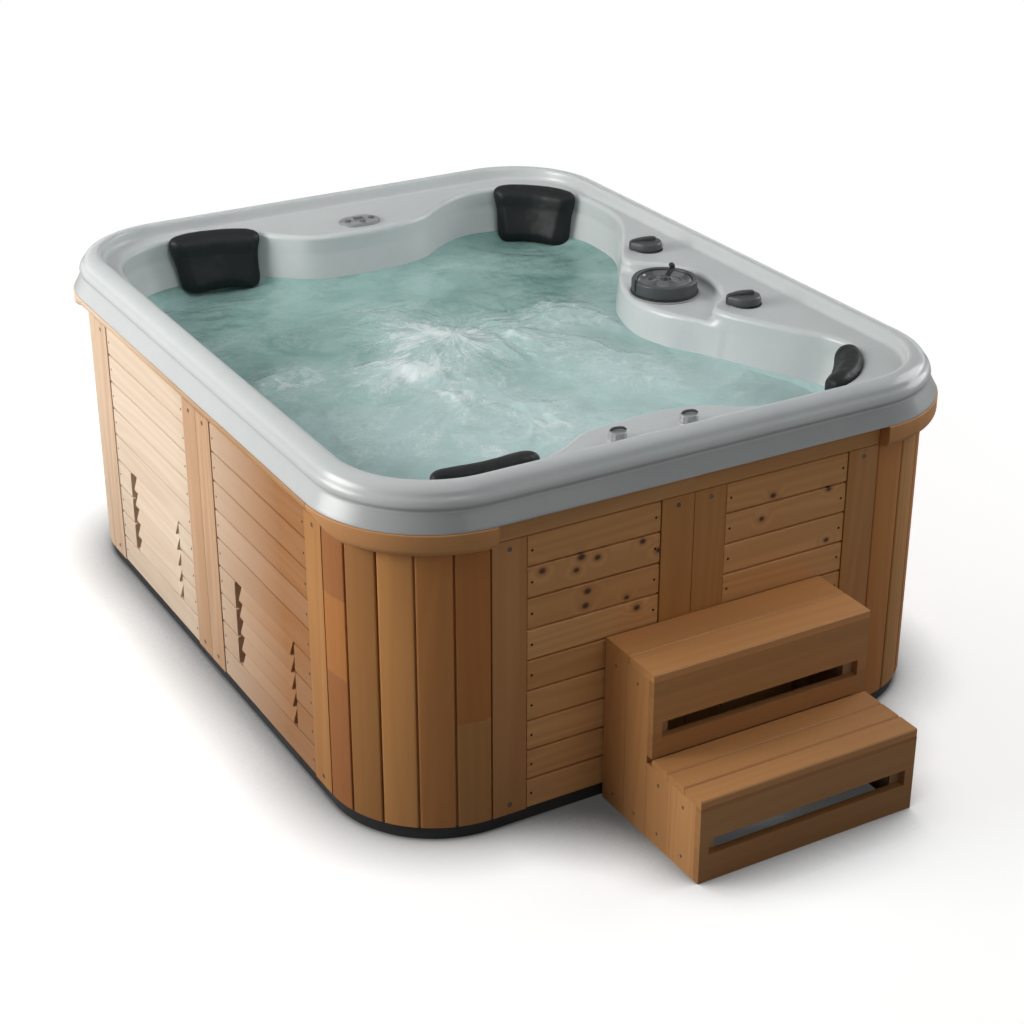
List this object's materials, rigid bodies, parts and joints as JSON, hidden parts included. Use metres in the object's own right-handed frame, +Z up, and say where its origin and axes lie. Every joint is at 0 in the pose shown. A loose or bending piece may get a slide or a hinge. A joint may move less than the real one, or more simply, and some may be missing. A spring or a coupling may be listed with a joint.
{
  "type": "hot tub",
  "caption": "Rounded rectangular hot tub with a moulded shell, timber-clad cabinet, head pillows, filter, rim controls and a loose two-rise timber step.",
  "frame": {"origin": "on the floor under the middle of the tub, not counting the step", "axes": "+Z up, +X to the right along the wall where the step stands, +Y from that wall to the back"},
  "size_m": [1.7, 2.4803, 0.919],
  "materials": {
    "timber": "oiled",
    "pale_timber": "oiled",
    "step_timber": "stained",
    "acrylic": "gloss",
    "pillow_skin": "matte",
    "grey_plastic": "satin",
    "light_grey_plastic": "satin",
    "black_plastic": "matte",
    "white_plastic": "matte",
    "stainless": "brushed",
    "fasteners": "plain",
    "machinery": "painted",
    "filter_fabric": "pleated"
  },
  "bodies": {
    "tub": {"base_pan": "black_plastic", "frame_rails": "pale_timber", "wall_studs": "pale_timber", "corner_formers": "pale_timber", "shell_cradle": "pale_timber", "shell_rim": "acrylic", "shell_walls": "acrylic", "shell_seats": "acrylic", "shell_footwell": "acrylic", "front_boards": "timber", "right_boards": "timber", "back_boards": "timber", "left_boards": "pale_timber", "panel_stiles": "timber", "top_rails": "timber", "panel_battens": "pale_timber", "corner_staves": "timber", "fascia": "timber", "vent_louvres": "pale_timber", "vent_bars": "pale_timber", "panel_screws": "fasteners", "board_nails": "fasteners", "pillow_back_left": "pillow_skin", "pillow_back_right": "pillow_skin", "pillow_front_right": "pillow_skin", "pillow_front_left": "pillow_skin", "filter_canister": "grey_plastic", "filter_collar": "grey_plastic", "diverter_valves": "grey_plastic", "air_valves": "white_plastic", "control_panel": "grey_plastic", "jet_bodies": "white_plastic", "jet_faces": "stainless", "suction_covers": "white_plastic", "underwater_light": "stainless", "pump_motor": "machinery", "pump_volute": "machinery", "air_blower": "black_plastic", "heater": "stainless", "control_box": "machinery", "pipework": "white_plastic"},
    "filter_cartridge": {"filter_cartridge": "filter_fabric"},
    "filter_lid": {"filter_lid": "light_grey_plastic"},
    "diverter_knob_rear": {"diverter_knob_rear": "grey_plastic"},
    "diverter_knob_front": {"diverter_knob_front": "grey_plastic"},
    "air_knob_left": {"air_knob_left": "light_grey_plastic"},
    "air_knob_right": {"air_knob_right": "light_grey_plastic"},
    "control_button_1": {"control_button_1": "light_grey_plastic"},
    "control_button_2": {"control_button_2": "light_grey_plastic"},
    "control_button_3": {"control_button_3": "light_grey_plastic"},
    "jet_nozzle_1": {"jet_nozzle_1": "black_plastic"},
    "jet_nozzle_2": {"jet_nozzle_2": "black_plastic"},
    "jet_nozzle_3": {"jet_nozzle_3": "black_plastic"},
    "jet_nozzle_4": {"jet_nozzle_4": "black_plastic"},
    "pump_impeller": {"pump_impeller": "black_plastic"},
    "step": {"step_sides": "step_timber", "step_treads": "step_timber", "step_risers": "step_timber", "step_posts": "pale_timber", "step_screws": "fasteners"}
  },
  "joints": [
    {"name": "filter_lift", "type": "slide", "parent": "tub", "child": "filter_cartridge", "axis": [0, 0, 1], "range_m": [0, 0.3]},
    {"name": "filter_lid_turn", "type": "hinge", "parent": "filter_cartridge", "child": "filter_lid", "pos_m": [0.538, -0.078, 0.86], "axis": [0, 0, 1], "range_deg": [0, 90]},
    {"name": "diverter_rear_turn", "type": "hinge", "parent": "tub", "child": "diverter_knob_rear", "pos_m": [0.642, 0.165, 0.875], "axis": [0, 0, 1], "range_deg": [-90, 90]},
    {"name": "diverter_front_turn", "type": "hinge", "parent": "tub", "child": "diverter_knob_front", "pos_m": [0.625, -0.335, 0.875], "axis": [0, 0, 1], "range_deg": [-90, 90]},
    {"name": "air_left_turn", "type": "hinge", "parent": "tub", "child": "air_knob_left", "pos_m": [-0.143, -0.908, 0.875], "axis": [0, 0, 1], "range_deg": [0, 270]},
    {"name": "air_right_turn", "type": "hinge", "parent": "tub", "child": "air_knob_right", "pos_m": [0.053, -0.908, 0.875], "axis": [0, 0, 1], "range_deg": [0, 270]},
    {"name": "button_1_press", "type": "slide", "parent": "tub", "child": "control_button_1", "axis": [0, 0, -1], "range_m": [0, 0.0015], "stiffness_N_per_m": 400, "springref_m": -0.001},
    {"name": "button_2_press", "type": "slide", "parent": "tub", "child": "control_button_2", "axis": [0, 0, -1], "range_m": [0, 0.0015], "stiffness_N_per_m": 400, "springref_m": -0.001},
    {"name": "button_3_press", "type": "slide", "parent": "tub", "child": "control_button_3", "axis": [0, 0, -1], "range_m": [0, 0.0015], "stiffness_N_per_m": 400, "springref_m": -0.001},
    {"name": "jet_1_spin", "type": "hinge", "parent": "tub", "child": "jet_nozzle_1", "pos_m": [-0.39797, 0.86654, 0.62], "axis": [-0.0619, -0.928, 0.3674], "continuous": true},
    {"name": "jet_2_spin", "type": "hinge", "parent": "tub", "child": "jet_nozzle_2", "pos_m": [0.63821, 0.73316, 0.62], "axis": [-0.7325, -0.5035, 0.4582], "continuous": true},
    {"name": "jet_3_spin", "type": "hinge", "parent": "tub", "child": "jet_nozzle_3", "pos_m": [0.52402, -0.83056, 0.62], "axis": [-0.4775, 0.7718, 0.4199], "continuous": true},
    {"name": "jet_4_spin", "type": "hinge", "parent": "tub", "child": "jet_nozzle_4", "pos_m": [-0.45398, -0.87354, 0.62], "axis": [0.0422, 0.9371, 0.3464], "continuous": true},
    {"name": "impeller_spin", "type": "hinge", "parent": "tub", "child": "pump_impeller", "pos_m": [-0.56, -0.34, 0.13], "axis": [0, 1, 0], "continuous": true},
    {"name": "step_pull", "type": "slide", "parent": "tub", "child": "step", "axis": [0, -1, 0], "range_m": [0, 0.3]}
  ]
}
